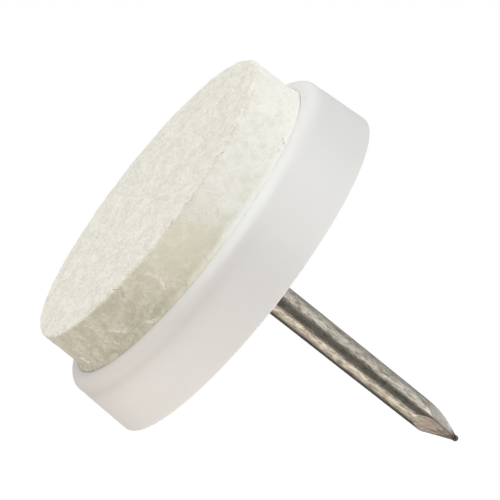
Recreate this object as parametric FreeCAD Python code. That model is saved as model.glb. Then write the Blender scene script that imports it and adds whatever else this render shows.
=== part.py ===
import FreeCAD
import Part
import math
import os

# Nail-on furniture glide: a felt disc in a moulded plastic cup, with a wire nail through the cup's middle.
# It stands as it does under a chair leg. The felt's sliding face lies on z = 0, the nail points up along +Z,
# and all three pieces are centred on that axis. Lengths are millimetres and angles are degrees.

# Moulded cup
glide_diameter = 28.0       # across the cup's back, its widest place
cup_height = 5.1            # from the lip to the back
side_draft = 3.1            # the side narrows towards the lip, so that the cup leaves its mould
lip_wall = 1.33             # the wall round the recess, measured at the lip
lip_bevel = 0.45            # inside the lip, the slope that leads the felt into the recess
lip_flat = 0.12             # left on the lip's top, and the rest of the wall is rounded
back_edge_round = 0.3
recess_depth = 1.85         # from the lip to the floor that the felt is glued to

# Felt disc
felt_thickness = 6.0
felt_clearance = 0.1        # between the felt's side and the recess
felt_edge_bevel = 0.45      # the sliding face's edge, softened by cutting and wear

# Wire nail
nail_length = 23.2          # from the top of the head to the tip
shank_diameter = 2.35
shank_clearance = 0.02      # between the shank and its hole in the cup
head_diameter = 6.0
head_thickness = 1.0
head_edge_bevel = 0.2
head_clearance = 0.15       # between the head's rim and its pocket
head_sink = 0.05            # how far the head's top lies below the recess floor, clear of the felt
grip_marks = 3              # rings pressed into the wire under the head by the jaws that held it
grip_start = 0.4            # from under the head to the middle of the first ring
grip_pitch = 0.8
grip_width = 0.6
grip_depth = 0.08
point_length = 4.1          # along a facet's middle, from the shank to the cut-off end
point_turn = 32.0           # from +X to the middle of the first facet
tip_width = 0.42            # across the flats where the point is cut off
nub_radius = 0.18           # the burr left on the cut-off end

# Heights, from the sliding face up
recess_floor_z = felt_thickness
lip_z = recess_floor_z - recess_depth
back_z = lip_z + cup_height
head_top_z = recess_floor_z + head_sink
head_seat_z = head_top_z + head_thickness
point_end_z = head_top_z + nail_length - nub_radius
point_start_z = point_end_z - point_length

# Radii
back_radius = glide_diameter / 2
lip_radius = back_radius - cup_height * math.tan(math.radians(side_draft))
recess_radius = lip_radius - lip_wall
lip_round = lip_wall - lip_bevel - lip_flat
felt_radius = recess_radius - felt_clearance
shank_radius = shank_diameter / 2
hole_radius = shank_radius + shank_clearance
head_radius = head_diameter / 2
pocket_radius = head_radius + head_clearance

AXIS = FreeCAD.Vector(0, 0, 1)
CENTRE = FreeCAD.Vector(0, 0, 0)
FACETS = 4


def turned(outline):
    """A solid of revolution about the glide's axis, from (radius, height) corners."""
    corners = [FreeCAD.Vector(radius, 0, height) for radius, height in outline]
    section = Part.Face(Part.makePolygon(corners + corners[:1]))
    return section.revolve(CENTRE, AXIS, 360)


def ring_edge(shape, radius, height):
    """The circular edge of a turned shape that lies at a radius and a height."""
    def miss(edge):
        return abs(edge.Curve.Radius - radius) + abs(edge.Curve.Center.z - height)

    rings = [edge for edge in shape.Edges if isinstance(edge.Curve, Part.Circle)]
    return min(rings, key=miss)


def felt_pad():
    """A disc cut from thick pressed felt. Its back fills the recess, and the rest stands proud of the lip."""
    return turned([
        (0, 0),
        (felt_radius - felt_edge_bevel, 0),
        (felt_radius, felt_edge_bevel),
        (felt_radius, recess_floor_z),
        (0, recess_floor_z),
    ])


def moulded_cup():
    """The cup in section: nail hole, head pocket, felt recess, lip, drafted side and flat back."""
    cup = turned([
        (hole_radius, head_seat_z),
        (pocket_radius, head_seat_z),
        (pocket_radius, recess_floor_z),
        (recess_radius, recess_floor_z),
        (recess_radius, lip_z + lip_bevel),
        (recess_radius + lip_bevel, lip_z),
        (lip_radius, lip_z),
        (back_radius, back_z),
        (hole_radius, back_z),
    ])
    cup = cup.makeFillet(lip_round, [ring_edge(cup, lip_radius, lip_z)])
    return cup.makeFillet(back_edge_round, [ring_edge(cup, back_radius, back_z)])


def grip_outline():
    """The shank's outline where the wire was gripped: a row of shallow rings below the head."""
    outline = []
    for mark in range(grip_marks):
        middle = head_seat_z + grip_start + mark * grip_pitch
        outline.append((shank_radius, middle - grip_width / 2))
        outline.append((shank_radius - grip_depth, middle))
        outline.append((shank_radius, middle + grip_width / 2))
    return outline


def point_jaw():
    """The block of metal that one cutting jaw takes off the wire to leave a facet of the point."""
    slope = math.degrees(math.atan2(shank_radius - tip_width / 2, point_length))
    reach = 2 * point_length
    across = 2 * shank_diameter
    jaw = Part.makeBox(across, 2 * across, 2 * reach, FreeCAD.Vector(0, -across, -reach))
    jaw.rotate(CENTRE, FreeCAD.Vector(0, 1, 0), -slope)
    jaw.translate(FreeCAD.Vector(tip_width / 2, 0, point_end_z))
    return jaw


def steel_nail():
    """A wire nail: flat head, round shank with grip marks, four-sided point with the cut-off's burr."""
    nail = turned([
        (0, head_top_z),
        (head_radius - head_edge_bevel, head_top_z),
        (head_radius, head_top_z + head_edge_bevel),
        (head_radius, head_seat_z),
        (shank_radius, head_seat_z),
        *grip_outline(),
        (shank_radius, point_end_z),
        (0, point_end_z),
    ])
    jaw = point_jaw()
    for facet in range(FACETS):
        turn = FreeCAD.Placement(CENTRE, FreeCAD.Rotation(AXIS, point_turn + facet * 360 / FACETS))
        nail = nail.cut(jaw.transformed(turn.toMatrix()))
    nub = Part.makeSphere(nub_radius, FreeCAD.Vector(0, 0, point_end_z))
    return nail.fuse(nub)


os.makedirs("parts", exist_ok=True)
for build in (felt_pad, moulded_cup, steel_nail):
    piece = build()
    name = build.__name__
    piece.exportStep(f"parts/{name}.step")
    box = piece.optimalBoundingBox()
    print(
        f"{name}: {len(piece.Solids)} solid, valid {piece.isValid()}, {piece.Volume:.2f} mm3,",
        f"z {box.ZMin:.3f} to {box.ZMax:.3f}, across {box.XLength:.3f}",
    )
print(f"lip at {lip_z:.2f}, back at {back_z:.2f}, shank round up to {point_start_z:.2f}")
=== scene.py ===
# %% [markdown]
# A nail-on glide is driven into the foot of a chair leg, so that the chair slides softly on the floor.
# It has three pieces: a thick disc of cream felt, a white moulded cup that holds it, and a wire nail
# that stands from the cup's back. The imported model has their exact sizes, so it is loaded first, and
# each piece below is built in the same frame: the felt's sliding face lies on z = 0 and the nail points
# up.

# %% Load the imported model
import math
import bmesh
import bpy
from mathutils import Matrix, Vector, noise


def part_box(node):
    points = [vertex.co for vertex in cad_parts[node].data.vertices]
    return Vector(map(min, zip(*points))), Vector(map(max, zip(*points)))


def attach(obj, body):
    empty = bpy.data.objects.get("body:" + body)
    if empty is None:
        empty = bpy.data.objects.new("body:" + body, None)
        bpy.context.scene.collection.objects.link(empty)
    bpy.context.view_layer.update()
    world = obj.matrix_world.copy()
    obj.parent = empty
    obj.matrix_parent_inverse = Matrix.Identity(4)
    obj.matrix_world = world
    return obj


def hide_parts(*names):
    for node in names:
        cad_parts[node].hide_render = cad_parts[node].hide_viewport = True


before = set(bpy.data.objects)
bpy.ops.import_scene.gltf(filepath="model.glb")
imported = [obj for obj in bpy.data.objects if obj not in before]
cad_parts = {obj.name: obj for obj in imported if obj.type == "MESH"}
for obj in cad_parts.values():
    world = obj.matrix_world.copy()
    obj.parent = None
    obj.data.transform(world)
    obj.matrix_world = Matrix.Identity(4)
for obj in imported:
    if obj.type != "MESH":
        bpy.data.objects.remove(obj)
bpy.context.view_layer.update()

mm = 0.001
print("packed nodes:", sorted(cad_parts))

# %% [markdown]
# The camera comes first, because every later choice is judged through it. In the photograph the glide
# lies on its rim and the tip of its nail, and here it stands on its felt, so the camera is turned
# instead of the glide. Five readings fix it: the slope of the glide's axis in the picture, how far the
# felt's face is turned towards the lens, where the face's middle lies, the scale there, and the focal
# length that the outline's taper gives.

# %% Camera
image_px = 500.0
focal_px = 5320.0
px_per_mm = 14.04
face_middle_px = Vector((144.99, 196.39))
axis_slope = math.radians(37.65)
face_turn = math.radians(12.4)
sensor_mm = 36.0


def photo_camera():
    """A camera whose axes and place are worked out from the readings above."""
    sin_slope, cos_slope = math.sin(axis_slope), math.cos(axis_slope)
    sin_turn, cos_turn = math.sin(face_turn), math.cos(face_turn)
    right = Vector((-sin_slope, -sin_turn * cos_slope, cos_turn * cos_slope))
    down = Vector((cos_slope, -sin_turn * sin_slope, cos_turn * sin_slope))
    away = Vector((0, cos_turn, sin_turn))
    shift = (face_middle_px - Vector((image_px, image_px)) / 2) / px_per_mm
    place = -(right * shift.x + down * shift.y + away * focal_px / px_per_mm) * mm
    lens = bpy.data.cameras.new("photo_camera")
    lens.sensor_fit = "HORIZONTAL"
    lens.sensor_width = sensor_mm
    lens.lens = focal_px / image_px * sensor_mm
    lens.clip_start = 0.01
    lens.clip_end = 10
    camera = bpy.data.objects.new("photo_camera", lens)
    axes = Matrix((right, -down, -away)).transposed()
    camera.matrix_world = Matrix.Translation(place) @ axes.to_4x4()
    bpy.context.scene.collection.objects.link(camera)
    return camera


camera = photo_camera()
bpy.context.scene.camera = camera
print("camera at", [round(value / mm, 1) for value in camera.location], "mm")

# %% [markdown]
# Node trees are easier to read as sums than as lists of links. The class below wraps one output of a
# node. Adding or multiplying wires adds the Math nodes that do it, and node() makes any other node from
# its type, its settings and what goes into its sockets. Shaders and Geometry Nodes both use it.

# %% Node trees as expressions
class Wire:
    """One output of a node, which can be used in plain expressions."""

    def __init__(self, socket):
        self.socket = socket
        self.tree = socket.id_data

    def out(self, name):
        """Another output of the same node."""
        return Wire(self.socket.node.outputs[name])

    def node(self, kind, settings=None, inputs=None, output=0):
        """A new node in the same tree."""
        return new_node(self.tree, kind, settings, inputs, output)

    def math(self, operation, *values):
        """A Math node on these values."""
        return self.node("ShaderNodeMath", {"operation": operation}, dict(enumerate(values)))

    def __add__(self, other):
        return self.math("ADD", self, other)

    def __radd__(self, other):
        return self.math("ADD", other, self)

    def __sub__(self, other):
        return self.math("SUBTRACT", self, other)

    def __rsub__(self, other):
        return self.math("SUBTRACT", other, self)

    def __mul__(self, other):
        return self.math("MULTIPLY", self, other)

    def __rmul__(self, other):
        return self.math("MULTIPLY", other, self)

    def __truediv__(self, other):
        return self.math("DIVIDE", self, other)

    def ease(self, low, high, start=0.0, end=1.0):
        """A soft step from start to end while this value goes from low to high."""
        settings = {"interpolation_type": "SMOOTHSTEP", "clamp": True}
        return self.node("ShaderNodeMapRange", settings, {0: self, 1: low, 2: high, 3: start, 4: end})

    def mix(self, first, second):
        """Two colours mixed, with this value as the factor."""
        settings = {"data_type": "RGBA", "clamp_factor": True}
        return self.node("ShaderNodeMix", settings, {0: self, 6: first, 7: second}, 2)

    def noise(self, scale, detail=3.0, rough=0.5, output="Fac"):
        """Noise over this place, with scale in waves for each unit of length."""
        values = {"Vector": self, "Scale": scale, "Detail": detail, "Roughness": rough}
        return self.node("ShaderNodeTexNoise", None, values, output)

    def vector(self, operation, *values):
        """A Vector Math node on these values."""
        return self.node("ShaderNodeVectorMath", {"operation": operation}, dict(enumerate(values)))

    def axis(self, name):
        """This vector's X, Y or Z."""
        return self.node("ShaderNodeSeparateXYZ", None, {0: self}, name)

    def stretched(self, x, y, z):
        """This place with each axis multiplied."""
        return self.vector("MULTIPLY", self, (x, y, z))

    def scaled(self, factor):
        """This vector made longer or shorter."""
        return self.node("ShaderNodeVectorMath", {"operation": "SCALE"}, {0: self, "Scale": factor})

    def turned(self, x, y, z):
        """This place turned about the axes, in degrees."""
        turn = tuple(math.radians(angle) for angle in (x, y, z))
        return self.node("ShaderNodeMapping", None, {"Vector": self, "Rotation": turn})


def new_node(tree, kind, settings=None, inputs=None, output=0):
    """A node of this kind: its settings are set first, then each socket gets a value or a link."""
    made = tree.nodes.new(kind)
    for name, value in (settings or {}).items():
        if name == "stops":
            stops = made.color_ramp.elements
            while len(stops) < len(value):
                stops.new(0.5)
            for stop, (place, colour) in zip(stops, value):
                stop.position = place
                stop.color = colour
        else:
            setattr(made, name, value)
    for key, value in (inputs or {}).items():
        if isinstance(value, Wire):
            tree.links.new(value.socket, made.inputs[key])
        else:
            made.inputs[key].default_value = value
    return Wire(made.outputs[output]) if made.outputs else None


def rgb(red, green, blue):
    """A colour with full opacity."""
    return (red, green, blue, 1.0)


print("expression nodes ready")

# %% [markdown]
# The light is a soft white tent with a slit. A steel nail shows its surroundings as bands along its
# length, so the tent is white on the side that the photograph shows bright, dark where the lens looks in
# and behind the glide, and warm where the table throws light back. The bands are given by their angle
# round the glide, from the lens. The same tent shades the felt and the cup without hard shadows, and
# darkens them at both ends of the disc. Lamps would leave their own shapes in the steel. The lens itself
# sees plain white.

# %% Light tent
tent_bands = [
    (-180, rgb(0.33, 0.33, 0.33)),
    (-150, rgb(0.50, 0.50, 0.50)),
    (-125, rgb(0.80, 0.80, 0.80)),
    (-95, rgb(1.12, 1.12, 1.12)),
    (-62, rgb(1.75, 1.75, 1.75)),
    (-42, rgb(1.76, 1.76, 1.76)),
    (-29, rgb(0.28, 0.28, 0.27)),
    (39, rgb(0.28, 0.28, 0.27)),
    (48, rgb(2.10, 1.98, 1.82)),
    (64, rgb(2.10, 1.98, 1.82)),
    (80, rgb(1.60, 1.50, 1.37)),
    (100, rgb(1.30, 1.21, 1.10)),
    (118, rgb(0.16, 0.15, 0.14)),
    (150, rgb(0.13, 0.12, 0.11)),
    (165, rgb(0.33, 0.33, 0.32)),
    (180, rgb(0.33, 0.33, 0.33)),
]
tent_above = rgb(1.25, 1.25, 1.25)
tent_below = rgb(1.57, 1.57, 1.56)
tent_shade = rgb(0.20, 0.19, 0.18)
tent_corner = (0.35, 0.95)
lens_white = rgb(1, 1, 1)


def light_tent():
    """A world that lights the glide by direction and looks white to the lens."""
    world = bpy.data.worlds.new("light_tent")
    world.use_nodes = True
    tree = world.node_tree
    tree.nodes.clear()
    towards = new_node(tree, "ShaderNodeTexCoord", output="Generated")
    x, y, z = (towards.axis(name) for name in "XYZ")
    round_glide = x.math("ARCTAN2", x, y * -1.0) / (2 * math.pi) + 0.5
    stops = [(angle / 360 + 0.5, colour) for angle, colour in tent_bands]
    band = x.node("ShaderNodeValToRGB", {"stops": stops}, {0: round_glide})
    walls = z.ease(*tent_corner).mix(band, tent_above)
    walls = (z * -1.0).ease(*tent_corner).mix(walls, tent_below)
    low = z.ease(-0.6, 0.05, 1.0, 0.0)
    high = z.ease(0.35, 0.75)
    lower_end = x.ease(0.1, 0.8) * low * 0.75
    upper_end = (x * -1.0).ease(0.2, 0.9) * (low * 0.55 + high * 0.8)
    walls = (lower_end + upper_end).mix(walls, tent_shade)
    lens_sees = new_node(tree, "ShaderNodeLightPath", output="Is Camera Ray")
    shown = lens_sees.mix(walls, lens_white)
    light = x.node("ShaderNodeBackground", None, {"Color": shown, "Strength": 1.0})
    x.node("ShaderNodeOutputWorld", None, {"Surface": light})
    return world


bpy.context.scene.world = light_tent()
bpy.context.scene.view_settings.view_transform = "Standard"
print("tent bands:", len(tent_bands))

# %% [markdown]
# The floor is a pale disc just under the felt. The photograph looks at the glide from below that plane,
# so the floor shows only from above and fades into the white round it. It takes the glide's soft shadow
# and throws nothing back.

# %% Floor
floor_z = -0.12 * mm
floor_radius = 0.9
floor_fade_from = 0.1
floor_pale = rgb(0.80, 0.79, 0.77)
floor_paler = rgb(0.84, 0.83, 0.81)


def shader_tree(name):
    """A new material with an empty node tree."""
    material = bpy.data.materials.new(name)
    material.use_nodes = True
    material.node_tree.nodes.clear()
    return material, material.node_tree


def floor_finish():
    """Pale matt card, seen from above only, which thins out towards its rim."""
    material, tree = shader_tree("pale_floor")
    place = new_node(tree, "ShaderNodeTexCoord", output="Object")
    grain = place.noise(900, 4.0)
    card = grain.mix(floor_pale, floor_paler)
    card = {"Base Color": card, "Roughness": 0.9 + grain * 0.1, "Specular IOR Level": 0.0}
    matt = place.node("ShaderNodeBsdfPrincipled", None, card)
    away = place.node("ShaderNodeVectorMath", {"operation": "LENGTH"}, {0: place}, "Value")
    under = new_node(tree, "ShaderNodeNewGeometry", output="Backfacing")
    hidden = away.math("MAXIMUM", away.ease(floor_fade_from, floor_radius), under)
    clear = new_node(tree, "ShaderNodeBsdfTransparent")
    shown = place.node("ShaderNodeMixShader", None, {0: hidden, 1: matt, 2: clear})
    place.node("ShaderNodeOutputMaterial", None, {"Surface": shown})
    return material


def add_piece(name, mesh, material):
    """An object for a finished mesh, at the origin, with one material."""
    piece = bpy.data.objects.new(name, mesh)
    bpy.context.scene.collection.objects.link(piece)
    mesh.materials.clear()
    mesh.materials.append(material)
    return piece


def floor_disc():
    """A flat disc of one face, big enough for every view."""
    shape = bmesh.new()
    bmesh.ops.create_circle(shape, cap_ends=True, segments=96, radius=floor_radius)
    bmesh.ops.translate(shape, verts=shape.verts, vec=(0, 0, floor_z))
    mesh = bpy.data.meshes.new("floor")
    shape.to_mesh(mesh)
    shape.free()
    return mesh


floor = add_piece("floor", floor_disc(), floor_finish())
for rays in ("visible_diffuse", "visible_glossy", "visible_transmission", "visible_shadow"):
    setattr(floor, rays, False)
print("floor faces up:", floor.data.polygons[0].normal.z > 0)

# %% [markdown]
# All three pieces are round, so one helper turns an outline about the glide's axis, as a lathe or a spun
# mould would. An outline that starts and ends on the axis is closed by a pole at each end, and one that
# ends where it starts gives a ring. Rows lie close together where an edge is rounded, and that makes
# smooth shading look right without marking sharp edges.

# %% Turning an outline
def turned(name, outline, columns, is_ring=False, start=0.0):
    """A closed mesh of revolution from (radius, height) points in millimetres."""
    shape = bmesh.new()
    rows = []
    for radius, height in outline:
        if radius == 0:
            rows.append([shape.verts.new((0, 0, height * mm))])
            continue
        row = []
        for column in range(columns):
            angle = start + 2 * math.pi * column / columns
            place = (radius * mm * math.cos(angle), radius * mm * math.sin(angle), height * mm)
            row.append(shape.verts.new(place))
        rows.append(row)
    pairs = list(zip(rows, rows[1:]))
    if is_ring:
        pairs.append((rows[-1], rows[0]))
    for lower, upper in pairs:
        for column in range(columns):
            after = (column + 1) % columns
            corners = [lower[column % len(lower)], lower[after % len(lower)]]
            corners += [upper[after % len(upper)], upper[column % len(upper)]]
            shape.faces.new(list(dict.fromkeys(corners)))
    bmesh.ops.recalc_face_normals(shape, faces=shape.faces)
    mesh = bpy.data.meshes.new(name)
    shape.to_mesh(mesh)
    shape.free()
    mesh.shade_smooth()
    return mesh


def arc(middle, radii, start, end, steps):
    """Points on a quarter or other part of an ellipse, angles in degrees."""
    points = []
    for step in range(steps + 1):
        angle = math.radians(start + (end - start) * step / steps)
        points.append((middle[0] + radii[0] * math.cos(angle), middle[1] + radii[1] * math.sin(angle)))
    return points


def run(first, last, steps):
    """Points along a straight line, both ends included."""
    shares = [step / steps for step in range(steps + 1)]
    return [tuple(a + (b - a) * share for a, b in zip(first, last)) for share in shares]


def soft_step(value, low, high):
    """0 below low, 1 above high, and a smooth change between."""
    share = min(max((value - low) / (high - low), 0.0), 1.0)
    return share * share * (3 - 2 * share)


def reach(node):
    """A CAD node's outer radius, lowest and highest point in millimetres."""
    low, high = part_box(node)
    return high[0] / mm, low[2] / mm, high[2] / mm


felt_radius, felt_face_z, felt_back_z = reach("felt_pad")
cup_radius, lip_z, back_z = reach("moulded_cup")
head_radius, head_top_z, tip_z = reach("steel_nail")
print(f"felt radius {felt_radius:.2f}, lip at {lip_z:.2f}, back at {back_z:.2f}, tip at {tip_z:.2f} mm")

# %% [markdown]
# The felt is a disc punched from thick pressed wool. Pressed felt is a solid mat and not a filled cover,
# so it isn't blown up as a cushion: it is turned to size with a soft edge, and flares into the groove
# inside the lip. Then noise nudges every free point along its normal, which gives the uneven hand of
# wool. The rim frays at the lip, swells a little on one side and draws back from the lip on another, as
# in the photograph. Every point is kept clear of the lip, and the buried part stays true, because it
# fits the cup.

# %% Felt disc
felt_columns = 320
felt_row = 0.26
felt_edge = 0.34
felt_sink = 0.08
felt_lean = Vector((-0.04, 0.0, 0.0))
felt_room = 0.012
felt_clearance = 0.1
felt_flare = [(0.01, -0.55), (0.06, -0.42), (0.14, -0.32), (0.24, -0.24), (0.33, -0.16), (0.28, -0.02)]
felt_flare += [(0.18, 0.14), (0.11, 0.40), (0.06, 0.8)]
flare_start = 0.6
flare_end = 1.1
gap_turn = math.radians(185)
gap_share = 0.5
swell_turn = math.radians(152)
swell_out = 0.09
fray_out = 0.09
fray_scale = 1.9
fray_heights = (lip_z - 0.6, lip_z - 0.3)
free_heights = (lip_z - 0.2, lip_z + 0.4)
ruffles = [(0.35, 0.06, (0, 0, 0)), (1.3, 0.03, (7, 1, 3)), (3.4, 0.012, (2, 9, 4))]
ruffle_limit = 0.1
recess_radius = felt_radius + felt_clearance
lip_crest_z = lip_z - 0.20
lip_inner = (0.33, 0.70)


def felt_outline():
    """The disc's section from the middle of its face to the middle of its back."""
    face_z = felt_face_z + felt_sink
    flat = felt_radius - felt_edge
    outline = run((0, face_z), (flat, face_z), round(flat / felt_row))
    outline += arc((flat, face_z + felt_edge), (felt_edge, felt_edge), -90, 0, 7)[1:]
    outline += run((felt_radius, face_z + felt_edge), (felt_radius, lip_z - flare_start), 12)[1:]
    outline += [(felt_radius + out, lip_z + up) for out, up in felt_flare]
    outline += run((felt_radius, lip_z + flare_end), (felt_radius, felt_back_z), 2)
    return outline + run((felt_radius, felt_back_z), (0, felt_back_z), 3)[1:]


def ruffle(place):
    """How far wool stands out from the disc here, in millimetres."""
    out = 0.0
    for scale, height, shift in ruffles:
        out += noise.noise(place * scale + Vector(shift)) * height
    return min(out, ruffle_limit)


def facing(place, turn, low, high):
    """1 on the side of the disc at this turn, and 0 away from it."""
    return soft_step(math.cos(math.atan2(place.y, place.x) - turn), low, high)


def woolly(place, normal):
    """A point of the turned disc, moved as the wool lies."""
    free = 1 - soft_step(place.z, *free_heights)
    radius = math.hypot(place.x, place.y)
    if radius > felt_radius + 0.02:
        drawn_in = (radius - felt_radius) * gap_share * facing(place, gap_turn, 0.9, 0.99) / radius
        place -= Vector((place.x, place.y, 0)) * drawn_in
    frayed = soft_step(place.z, *fray_heights) * free
    fray = noise.noise(place * fray_scale) * fray_out * frayed
    swell = facing(place, swell_turn, 0.6, 0.97) * free
    swell *= soft_step(radius, felt_radius - 3, felt_radius - 0.3)
    move = normal * (ruffle(place) * free + fray) + felt_lean * free
    move += Vector((normal.x, normal.y, 0)) * swell_out * swell
    return place + move


def lip_inside(height):
    """The radius of the lip's inner slope at a height, and of the recess wall above it."""
    share = (lip_crest_z + lip_inner[1] - height) / lip_inner[1]
    share = min(max(share, 0.0), 1.0)
    return recess_radius + lip_inner[0] * (1 - math.sqrt(1 - share * share))


def clear_of_lip(place):
    """A point of the felt, drawn in where it would run into the lip."""
    radius = math.hypot(place.x, place.y)
    room = lip_inside(place.z) - felt_room
    if place.z > lip_crest_z and radius > room:
        place.x *= room / radius
        place.y *= room / radius
    return place


def felt_mesh():
    """The turned disc with its wool in place."""
    mesh = turned("felt_disc", felt_outline(), felt_columns)
    normals = [vertex.normal.copy() for vertex in mesh.vertices]
    for vertex, normal in zip(mesh.vertices, normals):
        vertex.co = clear_of_lip(woolly(vertex.co / mm, normal)) * mm
    mesh.update()
    return mesh


felt_shape = felt_mesh()
lowest = min(vertex.co.z for vertex in felt_shape.vertices) / mm
print(f"felt disc: {len(felt_shape.polygons)} faces, lowest point {lowest:.3f} mm")

# %% [markdown]
# Wool felt looks matt and a little mottled: lighter where fibres lie on top and greyer in the hollows.
# The cut side is yellower, darkened towards moss at one end by painted shade and paled at the other end by
# painted light, and frays to a ragged white fringe at the lip. All of that is noise on Object coordinates,
# which are fixed to the glide. Heights for the bump are in metres, so the bump's distance is a real depth.

# %% Felt finish
felt_light = rgb(0.915, 0.89, 0.805)
felt_hollow = rgb(0.65, 0.625, 0.53)
felt_shaded_side = rgb(0.505, 0.47, 0.365)
felt_shaded_moss = rgb(0.52, 0.51, 0.395)
felt_straw = rgb(0.76, 0.725, 0.575)
felt_fern = rgb(0.70, 0.695, 0.55)
felt_pale_painted_light = rgb(0.985, 0.98, 0.925)
felt_cream = rgb(0.845, 0.82, 0.715)
felt_fringe = rgb(0.935, 0.95, 0.92)
fibre_pale = rgb(1.0, 0.99, 0.95)
streak_turns = [(10, 20, 15), (-25, 30, 75), (35, -15, 130), (15, 50, -40)]


def millimetres(tree):
    """The place on the piece in millimetres."""
    place = new_node(tree, "ShaderNodeTexCoord", output="Object")
    return place.stretched(1 / mm, 1 / mm, 1 / mm)


def principled(tree, inputs):
    """The main shader, joined to the output."""
    shader = new_node(tree, "ShaderNodeBsdfPrincipled", None, inputs)
    shader.node("ShaderNodeOutputMaterial", None, {"Surface": shader})


def bumped(height, strength, depth):
    """A normal that is tilted by a height, with the depth in metres."""
    return height.node("ShaderNodeBump", None, {"Strength": strength, "Distance": depth, "Height": height})


def pale_streaks(place):
    """Thin pale streaks in several directions: the fibres that are pressed into the mat."""
    top = None
    for turn in streak_turns:
        layer = place.turned(*turn).stretched(1.0, 8.0, 8.0).noise(0.9, 2.0, 0.55).ease(0.54, 0.70)
        top = top.math("MAXIMUM", top, layer) if top else layer
    return top


def cut_side(place, nap, mottle, specks):
    """The tone of the disc's cut side: painted shade darkens one end to moss, and painted light pales the
    other.
    """
    along = place.axis("X") + place.noise(0.5, 3.0) * 3.0
    swirl = {"Vector": place, "Scale": 0.8, "Detail": 4.0, "Roughness": 0.6, "Distortion": 1.6}
    flocks = place.node("ShaderNodeTexNoise", None, swirl).ease(0.42, 0.60)
    mossy = place.noise(0.7, 3.0).ease(0.42, 0.58)
    # Painted shade: towards +X the side darkens from straw to moss.
    cut = along.ease(3.5, 9.0).mix(mossy.mix(felt_straw, felt_fern), mossy.mix(felt_shaded_side, felt_shaded_moss))
    cut = (flocks * 0.32 + specks * 0.06).mix(cut, felt_light)
    # Painted light: towards -X the side turns pale.
    lit_end = (flocks * 0.35 + mottle * 0.45 + specks * 0.2).mix(felt_cream, felt_pale_painted_light)
    cut = along.ease(-2.4, 2.8, 1.0, 0.0).mix(cut, lit_end)
    ragged = place.axis("Z") + nap.noise(1.1, 4.0, 0.6) * 1.2
    fringe = ragged.ease(lip_z - 0.2, lip_z + 0.3) * along.ease(-0.5, 5.0, 1.0, 0.0)
    return (fringe * 0.85).mix(cut, felt_fringe)


def felt_finish():
    """Pressed cream wool."""
    material, tree = shader_tree("cream_felt")
    place = millimetres(tree)
    nap = place.stretched(1.0, 0.5, 1.0)
    mottle = nap.noise(0.9, 5.0, 0.62).ease(0.34, 0.66)
    specks = nap.noise(4.0, 3.0, 0.65).ease(0.36, 0.68)
    streaks = pale_streaks(place)
    side = place.axis("Z").ease(0.2, 0.45)
    wool = (mottle * 0.4 + specks * 0.6).mix(felt_hollow, felt_light)
    wool = side.mix(wool, cut_side(place, nap, mottle, specks))
    wool = (streaks * (0.5 - side * 0.32)).mix(wool, fibre_pale)
    hairs = place.noise(9.0, 3.0, 0.7) * 0.4 + mottle * 0.4 + specks * 0.3 + streaks * 0.5
    principled(tree, {
        "Base Color": wool,
        "Roughness": 0.86 + specks * 0.1,
        "Normal": bumped(hairs, 0.5, 0.04 * mm),
        "Specular IOR Level": 0.15,
        "Sheen Weight": 0.2,
        "Sheen Roughness": 0.5,
    })
    return material


felt_disc = add_piece("felt_disc", felt_shape, felt_finish())
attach(felt_disc, "root")
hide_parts("felt_pad")
print("felt disc finished")

# %% [markdown]
# The felt's fibres come next. A fibre is too thin for a pattern of its own, so each one has a single tone,
# which the tree below keeps on it under the name fibre_tone. Where the fibre lies decides which pair of
# colours the tone runs between: those of the face, or of the part of the side that painted light makes
# pale, the straw part, or the part that painted shade darkens.

# %% Fibre finish
face_fibres = (rgb(0.66, 0.63, 0.54), fibre_pale)
lit_end_fibres = (rgb(0.90, 0.88, 0.795), fibre_pale)
straw_fibres = (rgb(0.70, 0.67, 0.53), rgb(0.80, 0.775, 0.65))
shaded_fibres = (rgb(0.50, 0.47, 0.37), rgb(0.61, 0.58, 0.475))


def fibre_finish():
    """Single wool fibres: each has its own tone."""
    material, tree = shader_tree("wool_fibre")
    tone = new_node(tree, "ShaderNodeAttribute", {"attribute_name": "fibre_tone"}, None, "Fac")
    place = millimetres(tree)
    x, z = place.axis("X"), place.axis("Z")
    shade = tone * 0.8 + place.noise(2.0) * 0.2
    # The fibres follow the side's painted light towards -X and painted shade towards +X.
    cut = x.ease(-3.5, 1.5).mix(shade.mix(*lit_end_fibres), shade.mix(*straw_fibres))
    cut = x.ease(1.5, 7.0).mix(cut, shade.mix(*shaded_fibres))
    wool = z.ease(0.2, 0.5).mix(shade.mix(*face_fibres), cut)
    scales = place.noise(30.0, 2.0)
    principled(tree, {
        "Base Color": wool,
        "Roughness": 0.7 + scales * 0.15,
        "Specular IOR Level": 0.25,
        "Sheen Weight": 0.2,
    })
    return material


wool_fibre = fibre_finish()
print("fibre finish:", len(wool_fibre.node_tree.nodes), "nodes")

# %% [markdown]
# Thousands of bent threads that follow a surface are a job for Geometry Nodes, and so are the loose
# locks of wool further down. Both trees start from a geometry and a list of sizes, and end as threads
# with a material, so they share the small helpers below. Each helper adds the few nodes for one step and
# hands on their output.

# %% Helpers for the thread trees
def geometry_tree(name, start, sizes):
    """The inputs of a new Geometry Nodes tree: a geometry to start from, and a number for each size."""
    tree = bpy.data.node_groups.new(name, "GeometryNodeTree")
    tree.interface.new_socket(start, in_out="INPUT", socket_type="NodeSocketGeometry")
    for size, value in sizes.items():
        kind = "NodeSocketInt" if isinstance(value, int) else "NodeSocketFloat"
        tree.interface.new_socket(size, in_out="INPUT", socket_type=kind)
    tree.interface.new_socket("Threads", in_out="OUTPUT", socket_type="NodeSocketGeometry")
    return new_node(tree, "NodeGroupInput")


def here(given):
    """The place of each element, in metres."""
    return new_node(given.tree, "GeometryNodeInputPosition")


def named(given, name, kind):
    """A number or a vector that is kept on the geometry under a name."""
    return given.node("GeometryNodeInputNamedAttribute", {"data_type": kind}, {"Name": name})


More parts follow.
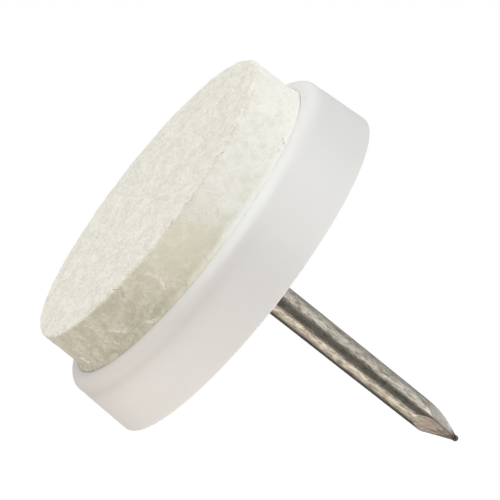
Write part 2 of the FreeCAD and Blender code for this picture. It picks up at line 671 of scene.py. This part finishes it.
def keep(given, geometry, name, value, kind, domain):
    """The geometry with a value kept on it under a name."""
    values = {"Geometry": geometry, "Name": name, "Value": value}
    return given.node("GeometryNodeStoreNamedAttribute", {"data_type": kind, "domain": domain}, values)


def chance(given, low, high, extra):
    """A random number for each element, from the tree's seed and one more number."""
    values = {2: low, 3: high, "Seed": given.out("Seed") + extra}
    return given.node("FunctionNodeRandomValue", {"data_type": "FLOAT"}, values, 1)


def moved(given, geometry, offset):
    """The geometry with each point moved."""
    return given.node("GeometryNodeSetPosition", None, {"Geometry": geometry, "Offset": offset})


def with_section(given, curves, sides, width):
    """Curves made into threads with a section of a few sides."""
    section = given.node("GeometryNodeCurvePrimitiveCircle", None, {"Resolution": sides, "Radius": 1.0})
    threads = {"Curve": curves, "Profile Curve": section, "Fill Caps": True, "Scale": width}
    return given.node("GeometryNodeCurveToMesh", None, threads)


def finished(given, threads, material):
    """The end of a tree: one plain mesh with its material."""
    threads = given.node("GeometryNodeRealizeInstances", None, {0: threads})
    threads = given.node("GeometryNodeSetMaterial", None, {"Geometry": threads, "Material": material})
    given.node("NodeGroupOutput", None, {0: threads})
    return given.tree


def run_tree(tree, start, sizes):
    """What a tree makes from a mesh or a curve, as a plain mesh with no modifier left."""
    base = bpy.data.objects.new(tree.name + "_base", start)
    bpy.context.scene.collection.objects.link(base)
    maker = base.modifiers.new(tree.name, "NODES")
    maker.node_group = tree
    for socket in tree.interface.items_tree:
        if socket.in_out == "INPUT" and socket.name in sizes:
            maker[socket.identifier] = sizes[socket.name]
    sight = bpy.context.evaluated_depsgraph_get()
    mesh = bpy.data.meshes.new_from_object(base.evaluated_get(sight))
    mesh.name = tree.name
    base.modifiers.remove(maker)
    bpy.data.objects.remove(base)
    mesh.shade_smooth()
    return mesh


print("helpers for the thread trees ready")

# %% [markdown]
# Fibres lie on the felt in every direction. Points are scattered on the bare felt, each gets one of a
# few bent curves, noise makes every curve its own, and a section of three sides turns the curves into
# threads. At the end the threads are pressed almost flat. Each of their points keeps the felt's normal
# under the name felt_normal, so that light can fall on them as it does on the felt.

# %% Fibre tree
fibre_sizes = {
    "Density": 3.4e6,
    "Shortest": 0.5 * mm,
    "Longest": 1.4 * mm,
    "Thickness": 0.034 * mm,
    "Stray": 0.14 * mm,
    "Hug": 0.92,
    "Lift": 0.012 * mm,
    "Top": (lip_z - 0.5) * mm,
    "Seed": 11,
}
fibre_start = (-0.5, 0, -0.03)
fibre_bends = [
    ((0, 0.2, 0.10), (0.5, 0, -0.03)),
    ((0, -0.3, 0.12), (0.5, 0, -0.03)),
    ((0, 0.1, 0.12), (0.5, 0, 0.05)),
    ((0, -0.12, 0.08), (0.5, 0, 0.06)),
    ((0, 0.45, 0.10), (0.5, 0, -0.03)),
]


def scattered(given):
    """Points on the felt that stands free of the lip, closer together where its flock is."""
    bare = {"A": here(given).axis("Z"), "B": given.out("Top")}
    bare = given.node("FunctionNodeCompare", {"operation": "LESS_THAN"}, bare)
    density = given.out("Density") * named(given, "flock", "FLOAT")
    scatter = {"Mesh": given, "Selection": bare, "Density": density, "Seed": given.out("Seed")}
    return given.node("GeometryNodeDistributePointsOnFaces", None, scatter)


def bent_curves(given):
    """A few bent curves of unit length, to pick from."""
    shapes = given.node("GeometryNodeJoinGeometry")
    for middle, end in fibre_bends:
        curve = {"Resolution": 5, "Start": fibre_start, "Middle": middle, "End": end}
        curve = given.node("GeometryNodeCurveQuadraticBezier", None, curve)
        single = given.node("GeometryNodeGeometryToInstance", None, {0: curve})
        given.tree.links.new(single.socket, shapes.socket.node.inputs[0])
    return shapes


def laid(given, points):
    """A bent curve on each point, lying on the felt and turned at random."""
    spin = given.node("ShaderNodeCombineXYZ", None, {"Z": chance(given, 0.0, 2 * math.pi, 1)})
    spin = given.node("FunctionNodeEulerToRotation", None, {0: spin})
    lie = {"Rotation": points.out("Rotation"), "Rotate By": spin}
    lie = given.node("FunctionNodeRotateRotation", {"rotation_space": "LOCAL"}, lie)
    pick = {4: 0, 5: len(fibre_bends) - 1, "Seed": given.out("Seed") + 3}
    pick = given.node("FunctionNodeRandomValue", {"data_type": "INT"}, pick, 2)
    length = chance(given, given.out("Shortest"), given.out("Longest"), 2)
    placed = {"Points": points, "Instance": bent_curves(given), "Pick Instance": True}
    placed.update({"Instance Index": pick, "Rotation": lie, "Scale": length})
    placed = given.node("GeometryNodeInstanceOnPoints", None, placed)
    return given.node("GeometryNodeRealizeInstances", None, {0: placed})


def swayed(given, curves):
    """Curves pushed about by noise, so that no two are alike."""
    push = here(given).stretched(1 / mm, 1 / mm, 1 / mm).noise(0.9, 2.0, 0.5, "Color")
    push = push.vector("SUBTRACT", push, (0.5, 0.5, 0.5)).scaled(given.out("Stray"))
    return moved(given, curves, push)


def pressed(given, threads):
    """Threads pressed onto the felt, with the felt's normal kept on each of their points."""
    place = here(given)
    normal = new_node(given.tree, "GeometryNodeInputNormal")
    felt_faces = {"Mesh": given, "Value": normal, "Sample Position": place}
    felt_faces = given.node("GeometryNodeSampleNearestSurface", {"data_type": "FLOAT_VECTOR"}, felt_faces)
    threads = keep(given, threads, "felt_normal", felt_faces, "FLOAT_VECTOR", "POINT")
    nearest = {"Target": given, "Source Position": place}
    nearest = given.node("GeometryNodeProximity", {"target_element": "FACES"}, nearest)
    down = nearest.vector("SUBTRACT", nearest, place).scaled(given.out("Hug"))
    lift = named(given, "felt_normal", "FLOAT_VECTOR").scaled(given.out("Lift"))
    return moved(given, threads, down.vector("ADD", down, lift))


def fibre_tree(material):
    """Threads scattered over the felt."""
    given = geometry_tree("felt_fibres", "Surface", fibre_sizes)
    curves = swayed(given, laid(given, scattered(given)))
    curves = keep(given, curves, "fibre_tone", chance(given, 0.0, 1.0, 5), "FLOAT", "CURVE")
    width = given.out("Thickness") * (0.6 + named(given, "fibre_tone", "FLOAT") * 0.5)
    return finished(given, pressed(given, with_section(given, curves, 3, width)), material)


fibre_maker = fibre_tree(wool_fibre)
print("fibre tree:", len(fibre_maker.nodes), "nodes")

# %% [markdown]
# Where a tuft has worked loose, threads lie thicker. A number on each point of the felt, called flock,
# says how many times as dense the threads are there, and the tree multiplies its density by it. The tree
# runs on a copy of the felt. Then the felt's normals are put in place of the threads' own, and the
# threads throw no shade, because single hairs would otherwise look like dark wires on pale wool.

# %% Felt fibres
tufts = [((4.0, -11.6, 1.9), 0.8, 2.5), ((8.6, -8.8, 2.9), 0.9, 2.0), ((-8.4, -9.0, 3.3), 1.0, 2.0)]


def felt_with_flock():
    """A copy of the felt's mesh that says how thick the threads lie at each point."""
    mesh = felt_shape.copy()
    flock = mesh.attributes.new("flock", "FLOAT", "POINT")
    for vertex in mesh.vertices:
        extra = 0.0
        for middle, spread, times in tufts:
            gap = (vertex.co / mm - Vector(middle)).length / spread
            extra += times * math.exp(-gap * gap)
        flock.data[vertex.index].value = 1 + extra
    return mesh


fibre_shape = run_tree(fibre_maker, felt_with_flock(), fibre_sizes)
felt_normals = [entry.vector.normalized() for entry in fibre_shape.attributes["felt_normal"].data]
fibre_shape.normals_split_custom_set_from_vertices(felt_normals)
fibres = add_piece("felt_fibres", fibre_shape, wool_fibre)
fibres.visible_shadow = False
fibres.visible_diffuse = False
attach(fibres, "root")
lowest = min(vertex.co.z for vertex in fibres.data.vertices) / mm
print(f"fibres: {len(fibres.data.polygons)} faces, lowest point {lowest:.3f} mm")

# %% [markdown]
# Here and there a small lock of wool has worked out of the cut side. A lock is about a dozen strands
# that run together along one short path. The paths are smooth curves, given as angles round the disc and
# heights above the floor, and a second tree copies each of them into strands, pushes every strand a
# little aside and off the felt, and bends it on its way.

# %% Lock tree
lock_paths = [
    [(-70.4, 1.12), (-71.3, 1.55), (-72.1, 2.0), (-71.4, 2.45), (-70.2, 2.85)],
    [(-43.5, 2.0), (-45.5, 2.45), (-48.5, 3.0)],
    [(-40.5, 3.0), (-41.8, 3.4), (-41.0, 3.85)],
    [(-57.0, 3.5), (-58.5, 3.85), (-60.5, 3.9)],
    [(-17.0, 2.7), (-18.8, 3.0), (-20.0, 3.4)],
]
lock_radius = felt_radius + 0.02
lock_sizes = {
    "Strands": 3,
    "Spread": 0.10 * mm,
    "Stray": 0.08 * mm,
    "Lift": 0.07 * mm,
    "Thickness": 0.026 * mm,
    "Seed": 5,
}


def lock_curves():
    """One smooth curve for each lock, just off the felt's side."""
    paths = bpy.data.curves.new("lock_paths", "CURVE")
    paths.dimensions = "3D"
    paths.resolution_u = 4
    for path in lock_paths:
        line = paths.splines.new("NURBS")
        line.points.add(len(path) - 1)
        for point, (degrees, height) in zip(line.points, path):
            angle = math.radians(degrees)
            place = Vector((lock_radius * math.cos(angle), lock_radius * math.sin(angle), height))
            point.co = (*((place + felt_lean) * mm), 1)
        line.order_u = 3
        line.use_endpoint_u = True
    return paths


def any_way(given, length, extra):
    """A random push for each element, no longer than this length along each axis."""
    values = {0: (-1, -1, -1), 1: (1, 1, 1), "Seed": given.out("Seed") + extra}
    push = given.node("FunctionNodeRandomValue", {"data_type": "FLOAT_VECTOR"}, values)
    return push.scaled(length)


def lock_tree(material):
    """Strands that run together along each path, a few for each of its bends."""
    given = geometry_tree("felt_locks", "Paths", lock_sizes)
    bends = new_node(given.tree, "GeometryNodeSplineLength", output="Point Count")
    copies = {"Geometry": given, "Amount": given.out("Strands") * bends}
    strands = given.node("GeometryNodeDuplicateElements", {"domain": "SPLINE"}, copies)
    for_each_strand = {"data_type": "FLOAT_VECTOR", "domain": "CURVE"}
    aside = {"Value": any_way(given, given.out("Spread"), 1)}
    aside = given.node("GeometryNodeFieldOnDomain", for_each_strand, aside)
    outwards = here(given).stretched(1, 1, 0)
    lift = outwards.vector("NORMALIZE", outwards).scaled(given.out("Lift"))
    strands = moved(given, strands, lift.vector("ADD", lift, aside))
    strands = moved(given, strands, any_way(given, given.out("Stray"), 2))
    return finished(given, with_section(given, strands, 4, given.out("Thickness")), material)


print("lock paths:", len(lock_paths))

# %% [markdown]
# Loose wool is a little paler than the mat that it came from, and each strand changes tone along its
# length. As with the fibres, the strands throw no shade on each other or on the felt.

# %% Loose locks
lock_dull = rgb(0.76, 0.715, 0.625)
lock_pale = rgb(0.91, 0.875, 0.80)


def lock_finish():
    """Loose wool with a tone that changes along the strand."""
    material, tree = shader_tree("loose_wool")
    tone = millimetres(tree).noise(6.0, 3.0)
    wool = tone.ease(0.35, 0.6).mix(lock_dull, lock_pale)
    principled(tree, {"Base Color": wool, "Roughness": 0.75 + tone * 0.15, "Specular IOR Level": 0.2})
    return material


loose_wool = lock_finish()
lock_shape = run_tree(lock_tree(loose_wool), lock_curves(), lock_sizes)
locks = add_piece("felt_locks", lock_shape, loose_wool)
locks.visible_shadow = False
locks.visible_diffuse = False
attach(locks, "root")
print(f"loose locks: {len(locks.data.polygons)} faces")

# %% [markdown]
# The cup is one moulding. Its side leans in towards the lip so that it leaves the mould, and the lip is
# a soft bead that swells round the felt, above a faint neck. The CAD solid has the same outline with a
# plain bevel inside the lip, so the cup is turned again here with that edge rounded off, and with the
# hidden recess, pocket and hole.

# %% Moulded cup
cup_columns = 240
shank_radius = 1.175
hole_radius = shank_radius + 0.02
hole_edge = 0.05
pocket_radius = head_radius + 0.15
head_seat_z = head_top_z + 1.0
side_draft = math.tan(math.radians(3.1))
side_rows = 24
lip_outer = 0.85
neck_z = lip_z + 1.0
neck_depth = 0.022
neck_width = 0.32
back_round = 0.14


def side_radius(height):
    """The cup's radius at a height on its drafted side."""
    return cup_radius - (back_z - height) * side_draft


def cup_outline():
    """The cup's section as a closed ring, from the hole round by the recess, lip, side and back."""
    crest = recess_radius + lip_inner[0]
    groove_z = lip_crest_z + lip_inner[1]
    shoulder_z = lip_crest_z + lip_outer
    lip_outside = side_radius(shoulder_z)
    edge_z = back_z - back_round
    edge = side_radius(edge_z) - back_round
    outline = run((hole_radius, back_z - hole_edge), (hole_radius, head_seat_z), 2)
    outline += run((pocket_radius, head_seat_z), (pocket_radius, felt_back_z), 1)
    outline += run((recess_radius, felt_back_z), (recess_radius, groove_z + 0.1), 2)
    outline += arc((crest, groove_z), lip_inner, 180, 270, 10)
    outline += arc((lip_outside - lip_outer, shoulder_z), (lip_outer, lip_outer), -90, 0, 12)
    for step in range(1, side_rows + 1):
        height = shoulder_z + (edge_z - shoulder_z) * step / side_rows
        neck = neck_depth * math.exp(-((height - neck_z) / neck_width) ** 2)
        outline.append((side_radius(height) - neck, height))
    outline += arc((edge, edge_z), (back_round, back_round), 0, 90, 6)[1:]
    return outline + run((edge - 0.3, back_z), (hole_radius + hole_edge, back_z), 8)


cup_shape = turned("moulded_cup_body", cup_outline(), cup_columns, is_ring=True)
print(f"cup: {len(cup_shape.polygons)} faces")

# %% [markdown]
# The cup's plastic is white with a warm grey cast, satin, and slightly cloudy because light goes a little
# way into it. Painted shade darkens it in the neck under the lip's bead and below the lip towards one end.
# Painted light brightens it towards the other end and along the lip's crest, and painted shade darkens the
# far rim of that end. Faint clouds of tone, a fine moulded grain and a few soft rubs in the gloss keep it
# from looking like a flat colour.

# %% Plastic finish
plastic_white = rgb(0.815, 0.80, 0.785)
plastic_grey = rgb(0.785, 0.77, 0.755)
plastic_painted_shade = rgb(0.71, 0.69, 0.67)
plastic_painted_light = rgb(0.91, 0.915, 0.90)
plastic_shade = rgb(0.70, 0.71, 0.69)


def white_with_painted_light_and_shade(place, white):
    """The plastic's white with painted light on one end and along the lip's crest, painted shade in the
    neck and under the lip at the other end, and its far end in painted shade.
    """
    x, z = place.axis("X"), place.axis("Z")
    # Painted light on the -X side of the cup.
    white = x.ease(-5.0, -0.5, 0.4, 0.0).mix(white, plastic_painted_light)
    # A painted highlight along the lip's crest.
    crest = z.ease(lip_z + 0.1, lip_z + 0.6, 1.0, 0.0)
    crest = crest * x.ease(-11.0, -4.0, 0.0, 0.75) * x.ease(1.0, 6.0, 1.0, 0.0)
    white = crest.mix(white, plastic_painted_light)
    # Painted shade in the neck under the bead and below the lip, deepest towards +X.
    shaded_end = x.ease(-5.0, 7.0)
    neck = z.ease(neck_z - 0.55, neck_z - 0.05) * z.ease(neck_z, neck_z + 0.6, 1.0, 0.0)
    below = z.ease(lip_z + 0.3, lip_z + 2.8, 1.0, 0.0)
    painted_shade = neck * (0.02 + shaded_end * 0.4) + below * shaded_end * 0.75
    white = painted_shade.mix(white, plastic_painted_shade)
    # Painted shade at the far rim of the -X end.
    far_end = x.ease(-12.8, -7.5, 0.8, 0.0) * z.ease(lip_z - 0.1, lip_z + 1.4, 0.3, 1.0)
    return far_end.mix(white, plastic_shade)


def plastic_finish():
    """Satin white moulded plastic."""
    material, tree = shader_tree("white_plastic_satin")
    place = millimetres(tree)
    clouds = place.noise(0.22, 4.0, 0.55).ease(0.3, 0.7)
    grain = place.noise(9.0, 3.0, 0.6)
    rubs = place.stretched(1, 1, 0.35).noise(1.6, 5.0, 0.7).ease(0.5, 0.72)
    white = (clouds * 0.7 + grain * 0.3).mix(plastic_grey, plastic_white)
    height = grain * 0.5 + clouds * 0.8 + rubs * 0.3
    principled(tree, {
        "Base Color": white_with_painted_light_and_shade(place, white),
        "Roughness": 0.42 + rubs * 0.14 + grain * 0.06,
        "Normal": bumped(height, 0.25, 0.02 * mm),
        "IOR": 1.5,
        "Specular IOR Level": 0.35,
        "Subsurface Weight": 0.15,
        "Subsurface Radius": (1.0, 0.9, 0.8),
        "Subsurface Scale": 0.8 * mm,
    })
    return material


cup = add_piece("moulded_cup_body", cup_shape, plastic_finish())
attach(cup, "root")
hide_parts("moulded_cup")
print("cup finished")

# %% [markdown]
# The nail is drawn wire. Two pairs of jaws pinch its end into four flat facets and nip it off, which
# leaves a small burr. It is turned like the rest, and then each point near the tip is pulled in to the
# nearest facet. A soft minimum between round wire and facet leaves the ridges slightly worn, and one of
# them rolled over. The real nail isn't perfect: it leans a little, thins towards the tip on one side,
# and its facets are twisted.

# %% Nail
nail_columns = 144
head_bevel = 0.2
grip_marks = 3
grip_start = 0.4
grip_pitch = 0.8
grip_half = 0.3
grip_depth = 0.08
shank_start_z = 9.6
burr_length = 0.18
point_length = 3.77
point_end_z = tip_z - burr_length
point_start_z = point_end_z - point_length
facet_turn = math.radians(32)
end_half = 0.14
thinning = 0.20
uneven_depth = 0.012
dent_depth = 0.02
facet_wear = 0.09
ridge_blend = 0.02
rolled_blend = 0.4
twist = math.radians(26)
nail_lean = math.tan(math.radians(0.44))
ridge_turn = facet_turn + math.pi / 4
rolled_ridge = facet_turn + math.radians(135)


def nail_outline():
    """The nail's section: head, grip rings, shank, and rows that will become the point."""
    outline = [(0, head_top_z), (head_radius - head_bevel, head_top_z)]
    outline += [(head_radius, head_top_z + head_bevel), (head_radius, head_seat_z)]
    outline += [(shank_radius, head_seat_z)]
    for mark in range(grip_marks):
        middle = head_seat_z + grip_start + grip_pitch * mark
        for step in (-1.0, -0.5, 0, 0.5, 1.0):
            depth = grip_depth * (1 - abs(step))
            outline.append((shank_radius - depth, middle + step * grip_half))
    outline += run((shank_radius, shank_start_z), (shank_radius, point_start_z - 0.2), 30)
    outline += run((shank_radius, point_start_z - 0.1), (shank_radius, point_end_z - 0.13), 90)
    burr = arc((0, tip_z - 0.24), (0.25, 0.24), -35, 80, 8)
    return outline + burr + [(0, tip_z)]


def point_share(height):
    """0 where the facets start and 1 where they end."""
    return min(max((height - point_start_z) / (point_end_z - point_start_z), 0.0), 1.0)


def worn_side(angle):
    """1 on the side where the nail thins, and 0 from its flanks round to the other side."""
    return max(math.cos(angle - math.pi), 0)


def wire_reach(place, radius, angle):
    """The wire's own radius: slightly uneven, and thinner towards the tip on its worn side."""
    uneven = noise.noise(Vector((place.x * 0.6, place.y * 0.6, place.z * 0.25))) * uneven_depth
    worn = thinning * worn_side(angle) * soft_step(place.z, back_z, point_end_z)
    return radius + uneven * soft_step(place.z, back_z + 0.4, back_z + 2) - worn * radius / shank_radius


def facet_reach(place, angle):
    """How far the nearest facet lies from the axis in this direction."""
    share = point_share(place.z)
    quarter = math.pi / 2
    turn = (angle - facet_turn - twist * share + quarter / 2) % quarter - quarter / 2
    facet = (shank_radius + (end_half - shank_radius) * share) / math.cos(turn)
    dent = noise.noise(place * 2.3) * dent_depth
    return facet + dent - facet_wear * worn_side(angle)


def soft_minimum(first, second, blend):
    """The smaller of two values, rounded off where they are nearly the same."""
    gap = max(blend - abs(first - second), 0) / blend
    return min(first, second) - gap * gap * blend / 4


def nail_mesh():
    """The turned wire with its four facets pinched in, leaning a little."""
    mesh = turned("wire_nail", nail_outline(), nail_columns, start=ridge_turn)
    for vertex in mesh.vertices:
        place = vertex.co / mm
        radius = math.hypot(place.x, place.y)
        if place.z > head_seat_z and radius > 0.001:
            angle = math.atan2(place.y, place.x)
            reach_out = wire_reach(place, radius, angle)
            if point_start_z < place.z <= point_end_z - 0.12 and radius > 0.5:
                rolled = soft_step(math.cos(angle - rolled_ridge), 0.6, 1.0)
                blend = ridge_blend + rolled_blend * rolled
                reach_out = soft_minimum(reach_out, facet_reach(place, angle), blend)
            place.x = reach_out * math.cos(angle)
            place.y = reach_out * math.sin(angle)
        place.x += nail_lean * max(place.z - back_z, 0)
        vertex.co = place * mm
    mesh.update()
    return mesh


nail_shape = nail_mesh()
print(f"nail: {len(nail_shape.polygons)} faces")

# %% [markdown]
# Drawn wire is bright under a thin dull skin: fine lines run along it where the die dragged, and the skin
# is speckled and browner in places. The pinched end is fresh-cut on its upper facets, which painted light
# makes brighter still. It is brown on its lower facets and dark with burnt oil at the tip. Painted shade
# darkens the nail where it leaves the cup. The lines are noise stretched along the nail, and the skin and
# lines move colour, roughness and bump together, as one layer would.

# %% Steel finish
steel_bright = rgb(0.52, 0.487, 0.425)
steel_dull = rgb(0.09, 0.08, 0.06)
steel_brown = rgb(0.25, 0.19, 0.155)
steel_burnt_and_shade = rgb(0.045, 0.035, 0.03)
steel_fresh_and_lit = rgb(0.62, 0.595, 0.55)


def point_tones(place, metal, skin):
    """The metal with painted shade at its root, fresh-cut upper facets that painted light makes brighter,
    brown lower facets and a burnt tip.
    """
    x, y, z = (place.axis(name) for name in "XYZ")
    upper = ((x - 0.15) * -1.3 + y * 0.21).ease(-0.05, 0.15)
    # Painted light: the upper facets are fresh-cut, and also lighter to stand in for a brighter
    # reflection.
    fresh_and_lit = z.ease(point_start_z + 0.1, point_start_z + 0.9) * upper
    metal = (fresh_and_lit * 0.75).mix(metal, steel_fresh_and_lit)
    pinched = z.ease(point_start_z, point_start_z + 1.0) * (x * 0.53 - y * 0.85).ease(0.1, 0.4)
    pinched = pinched * (1.0 - upper)
    metal = (pinched * 0.6).mix(metal, steel_brown)
    # Painted shade where the nail leaves the cup.
    root = z.ease(back_z + 0.1, back_z + 1.4, 1.0, 0.0)
    metal = (root * 0.5).mix(metal, steel_burnt_and_shade)
    burnt = z.ease(point_end_z - 0.9, point_end_z - 0.15)
    return (burnt * (0.75 + skin * 0.25)).mix(metal, steel_burnt_and_shade)


def steel_finish():
    """Dulled drawn steel wire."""
    material, tree = shader_tree("drawn_steel")
    place = millimetres(tree)
    lines = place.stretched(9, 9, 0.35).noise(1.0, 4.0, 0.65)
    skin = place.stretched(1, 1, 0.4).noise(2.4, 6.0, 0.75).ease(0.36, 0.66)
    specks = place.stretched(1, 1, 0.3).noise(5.5, 4.0, 0.7).ease(0.38, 0.68)
    rust = place.noise(0.8, 4.0, 0.6).ease(0.55, 0.74)
    metal = (skin * 0.4 + lines * 0.25 + specks * 0.4).mix(steel_bright, steel_dull)
    metal = (rust * 0.4).mix(metal, steel_brown)
    height = lines * 0.6 + specks * -0.5 + skin * -0.3
    principled(tree, {
        "Base Color": point_tones(place, metal, skin),
        "Metallic": 1.0 - rust * 0.15,
        "Roughness": 0.15 + skin * 0.08 + specks * 0.1 + rust * 0.08,
        "Normal": bumped(height, 0.5, 0.015 * mm),
    })
    return material


nail = add_piece("wire_nail", nail_shape, steel_finish())
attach(nail, "root")
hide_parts("steel_nail")
print("nail finished")
